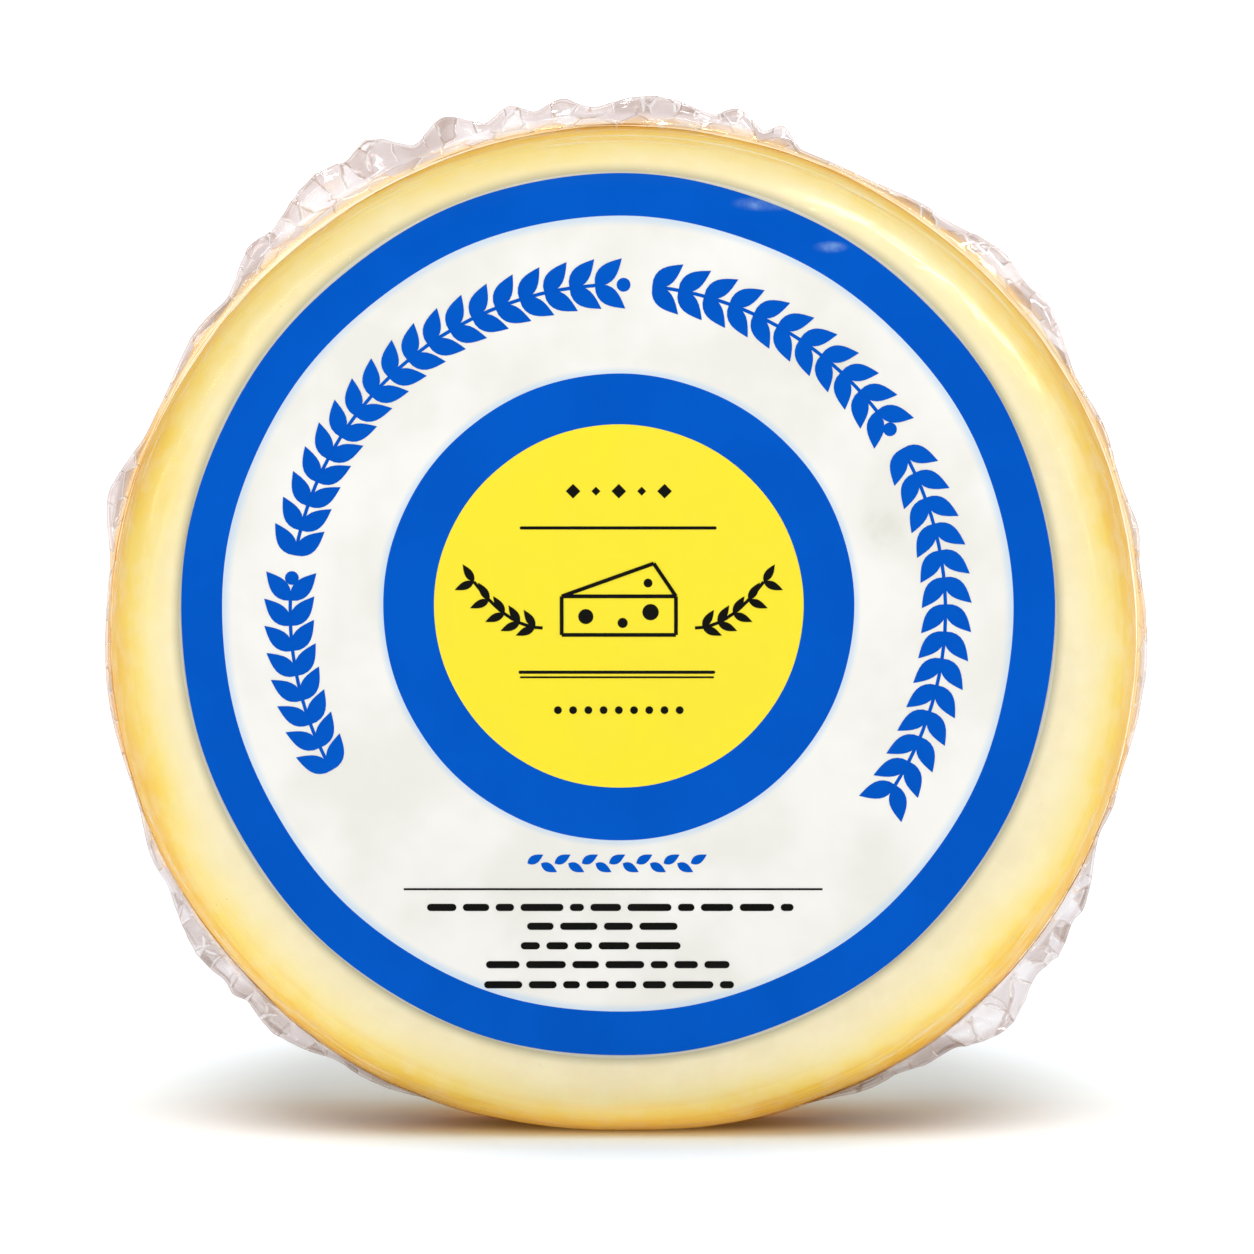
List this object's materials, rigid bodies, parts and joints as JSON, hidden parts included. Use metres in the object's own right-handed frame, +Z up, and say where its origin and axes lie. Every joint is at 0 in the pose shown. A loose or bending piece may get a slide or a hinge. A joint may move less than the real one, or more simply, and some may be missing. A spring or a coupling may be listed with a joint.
{
  "type": "wrapped provolone wheel",
  "caption": "Small round wheel of smoked provolone in a clear vacuum bag with a crinkled film fringe and a round print on its front, standing on its edge.",
  "frame": {"origin": "on the floor under the middle of the pack's bounding box, on the small flat spot that it rests on", "axes": "+Z up, +Y from the printed front to the back along the wheel's axis, +X to the right as seen from the front"},
  "size_m": [0.1672, 0.0466, 0.1643],
  "materials": {
    "wrapped_cheese": "smoked yellow rind under clear film",
    "print_blue": "blue print on film",
    "print_white": "white print on film",
    "print_yellow": "yellow print on film"
  },
  "bodies": {
    "root": {"wrapped_cheese": "wrapped_cheese", "print_rim": "print_blue", "print_field": "print_white", "print_band": "print_blue", "print_centre": "print_yellow"}
  },
  "joints": []
}
